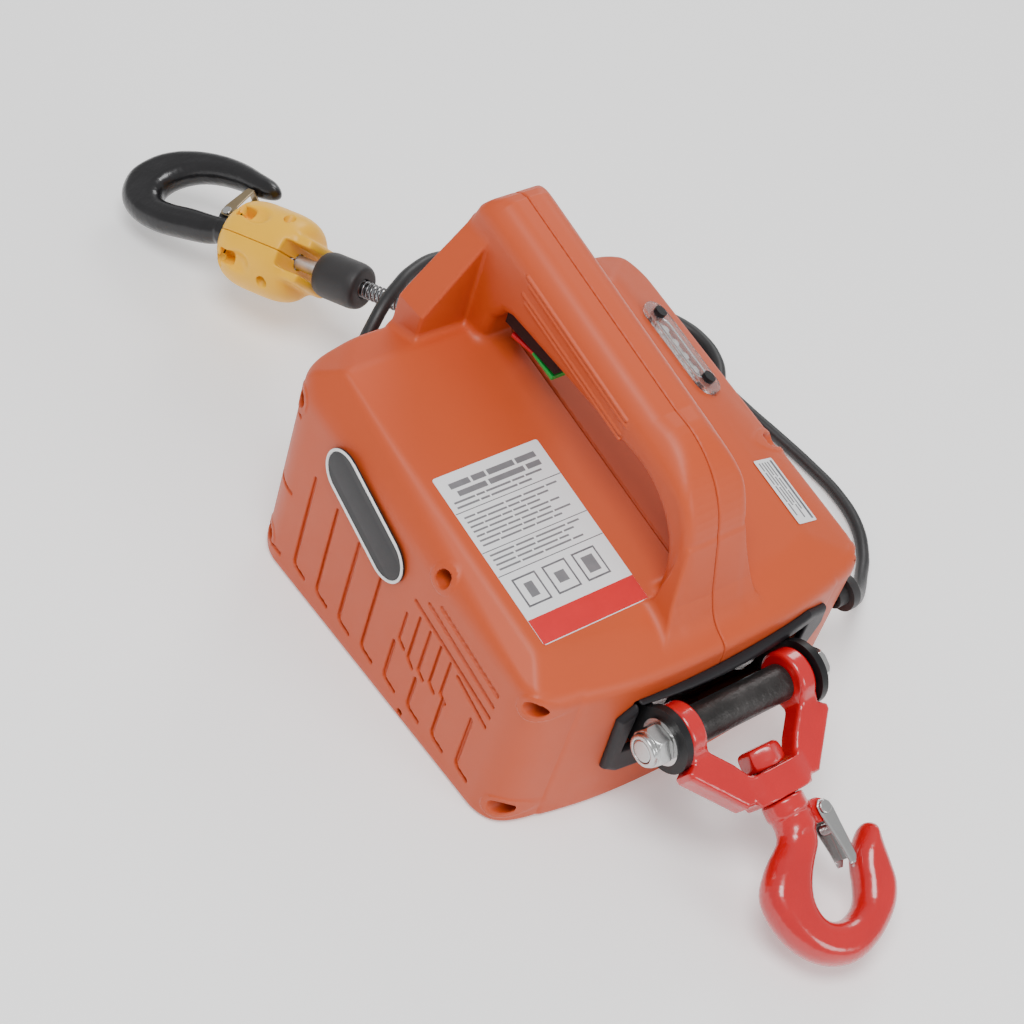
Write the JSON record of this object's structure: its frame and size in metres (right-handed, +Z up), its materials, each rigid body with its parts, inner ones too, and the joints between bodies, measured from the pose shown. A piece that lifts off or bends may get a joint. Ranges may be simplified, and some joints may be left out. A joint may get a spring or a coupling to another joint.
{
  "type": "electric wire rope hoist",
  "caption": "Portable electric hoist with a carry handle, a swivel hook in front and a rope with a hook block at the rear.",
  "frame": {"origin": "centre of the housing's flat underside", "axes": "+X towards the front swivel hook, +Z up, +Y towards the side that the power cord leaves"},
  "size_m": [0.6111, 0.3241, 0.207],
  "materials": {
    "orange_shell": "fine moulded texture, orange",
    "black_plastic": "black moulded plastic",
    "black_steel": "black coated steel",
    "grey_steel": "dark grey coated steel",
    "zinc": "zinc plated steel",
    "rope_steel": "galvanised wire rope",
    "hook_red": "glossy red paint",
    "hook_dark": "dark burnished forging",
    "block_yellow": "yellow moulded plastic",
    "bumper_rubber": "black rubber",
    "cord_rubber": "black cord sheath",
    "clear_lens": "clear moulded lens",
    "lamp_board": "white circuit board with lamps",
    "board_green": "circuit board",
    "badge": "black badge with a white rim",
    "label_white": "printed white label",
    "rocker_plastic": "green and red rocker",
    "gear_steel": "hardened gear steel, oiled",
    "drum_iron": "turned cast iron",
    "gearbox_alloy": "die cast aluminium",
    "motor_steel": "dark motor can",
    "rotor_copper": "wound rotor",
    "latch_bronze": "yellow passivated steel"
  },
  "bodies": {
    "hoist_body": {"housing_near": "orange_shell", "housing_far": "orange_shell", "housing_screws": "zinc", "name_badge": "badge", "safety_label": "label_white", "rating_label": "label_white", "lamp_lens": "clear_lens", "lamp_screws": "black_steel", "lamp_board": "lamp_board", "front_bezel": "black_plastic", "hook_bracket": "black_steel", "bracket_bolts": "zinc", "cross_bolt": "zinc", "spacer_tube": "grey_steel", "lock_nut": "zinc", "bolt_washers": "zinc", "rope_guide": "black_plastic", "limit_switch": "black_plastic", "rope_run": "rope_steel", "drum_bearings": "zinc", "frame_plate": "grey_steel", "frame_beam": "grey_steel", "frame_rods": "zinc", "gearbox_case": "gearbox_alloy", "gearbox_cover": "gearbox_alloy", "motor_can": "motor_steel", "switch_body": "black_plastic", "cord_gland": "bumper_rubber", "control_board": "board_green", "power_cord": "cord_rubber", "cord_coil": "cord_rubber", "cord_tail": "cord_rubber", "mains_plug": "cord_rubber"},
    "yoke": {"front_yoke": "hook_red"},
    "front_swivel_hook": {"front_hook": "hook_red", "front_hook_nut": "hook_red"},
    "front_safety_latch": {"front_latch": "zinc", "front_latch_pin": "zinc", "front_latch_spring": "zinc"},
    "rope_exit": {"rope_bend": "rope_steel"},
    "rope_block": {"rope_lead": "rope_steel", "rope_ferrule": "zinc", "block_near": "block_yellow", "block_far": "block_yellow", "block_screws": "black_steel", "rubber_bumper": "bumper_rubber", "limit_spring": "zinc"},
    "rear_swivel_hook": {"block_swivel": "zinc", "rear_hook": "hook_dark"},
    "rear_safety_latch": {"rear_latch": "latch_bronze", "rear_latch_pin": "zinc"},
    "stop_plate": {"limit_plate": "zinc"},
    "drum": {"rope_drum": "drum_iron", "drum_rope": "rope_steel", "drum_shaft": "gear_steel", "drum_gear": "gear_steel"},
    "low_shaft": {"gear_shaft_low": "gear_steel"},
    "high_shaft": {"gear_shaft_high": "gear_steel"},
    "rotor": {"motor_rotor": "rotor_copper"},
    "rocker": {"switch_rocker": "rocker_plastic"}
  },
  "joints": [
    {"name": "yoke_swing", "type": "hinge", "parent": "hoist_body", "child": "yoke", "pos_m": [0.1316, 0, 0.0683], "axis": [0, 1, 0], "range_deg": [-115, 65]},
    {"name": "front_hook_swivel", "type": "hinge", "parent": "yoke", "child": "front_swivel_hook", "pos_m": [0.19504, 0, 0.03872], "axis": [0.9063, 0, -0.4226], "continuous": true},
    {"name": "front_latch_open", "type": "hinge", "parent": "front_swivel_hook", "child": "front_safety_latch", "pos_m": [0.18779, 0.016, 0.0421], "axis": [0.4226, 0, 0.9063], "range_deg": [-23, 0], "stiffness_Nm_per_rad": 0.02, "springref_deg": 34.38},
    {"name": "rope_travel", "type": "slide", "parent": "hoist_body", "child": "rope_exit", "axis": [-0.96, -0.2798, 0], "range_m": [0, 0.4], "deforming": ["rope_run"]},
    {"name": "block_swing", "type": "hinge", "parent": "rope_exit", "child": "rope_block", "pos_m": [-0.12371, 0.01971, 0.08175], "axis": [0.2798, -0.96, 0], "range_deg": [0, 60]},
    {"name": "rear_hook_swivel", "type": "hinge", "parent": "rope_block", "child": "rear_swivel_hook", "pos_m": [-0.25702, -0.01914, 0.04324], "axis": [-0.9251, -0.2697, -0.2672], "continuous": true},
    {"name": "rear_latch_open", "type": "hinge", "parent": "rear_swivel_hook", "child": "rear_safety_latch", "pos_m": [-0.28276, -0.01694, 0.04032], "axis": [0.1377, 0.4177, -0.8981], "range_deg": [-26, 0], "stiffness_Nm_per_rad": 0.015, "springref_deg": 34.38},
    {"name": "stop_plate_push", "type": "slide", "parent": "hoist_body", "child": "stop_plate", "axis": [1, 0, 0], "range_m": [0, 0.0035], "stiffness_N_per_m": 800, "springref_m": -0.002},
    {"name": "drum_spin", "type": "hinge", "parent": "hoist_body", "child": "drum", "pos_m": [-0.033, 0, 0.0483], "axis": [0, -1, 0], "range_deg": [0, 660]},
    {"name": "low_shaft_spin", "type": "hinge", "parent": "hoist_body", "child": "low_shaft", "pos_m": [0.019, 0, 0.0483], "axis": [0, -1, 0], "range_deg": [-2200, 0]},
    {"name": "high_shaft_spin", "type": "hinge", "parent": "hoist_body", "child": "high_shaft", "pos_m": [0.06221, 0, 0.05514], "axis": [0, -1, 0], "range_deg": [0, 8800]},
    {"name": "rotor_spin", "type": "hinge", "parent": "hoist_body", "child": "rotor", "pos_m": [0.02883, 0, 0.04166], "axis": [0, -1, 0], "range_deg": [-44000, 0]},
    {"name": "rocker_tilt", "type": "hinge", "parent": "hoist_body", "child": "rocker", "pos_m": [-0.046, 0, 0.156], "axis": [0, 1, 0], "range_deg": [-8, 8], "stiffness_Nm_per_rad": 0.6}
  ],
  "couplings": [
    {"joint": "rope_travel", "follows": "drum_spin", "m_per_rad": 0.0347},
    {"joint": "low_shaft_spin", "follows": "drum_spin", "ratio": -3.3333},
    {"joint": "high_shaft_spin", "follows": "drum_spin", "ratio": 13.333},
    {"joint": "rotor_spin", "follows": "drum_spin", "ratio": -66.667}
  ]
}
